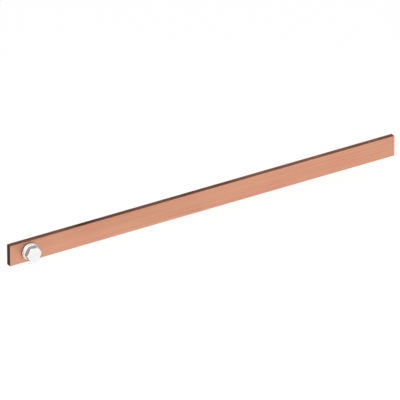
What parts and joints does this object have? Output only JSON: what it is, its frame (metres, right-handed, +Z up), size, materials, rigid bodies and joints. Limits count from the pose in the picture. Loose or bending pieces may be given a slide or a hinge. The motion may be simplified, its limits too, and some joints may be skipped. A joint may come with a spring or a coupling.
{
  "type": "copper busbar",
  "caption": "Long flat copper busbar on edge, with a hexagon bolt, split spring washer, two plain washers and low nut clamped through one end to join a lug or the next bar.",
  "frame": {"origin": "middle of the bar's narrow bottom edge, on which the bar stands", "axes": "+X along the bar, away from the bolt; -Y the front, where the bolt head is; +Z up across the bar's height"},
  "size_m": [0.4, 0.0213, 0.02],
  "materials": {
    "copper": "drawn bare copper, satin, browned on the narrow edges and sawn ends",
    "zinc_plated_steel": "bright zinc plating, satin",
    "spring_steel": "bright zinc flake over spring steel, satin"
  },
  "bodies": {
    "root": {"copper_bar": "copper", "hex_bolt": "zinc_plated_steel", "spring_washer": "spring_steel", "front_washer": "zinc_plated_steel", "plain_washer": "zinc_plated_steel", "hex_nut": "zinc_plated_steel"}
  },
  "joints": []
}
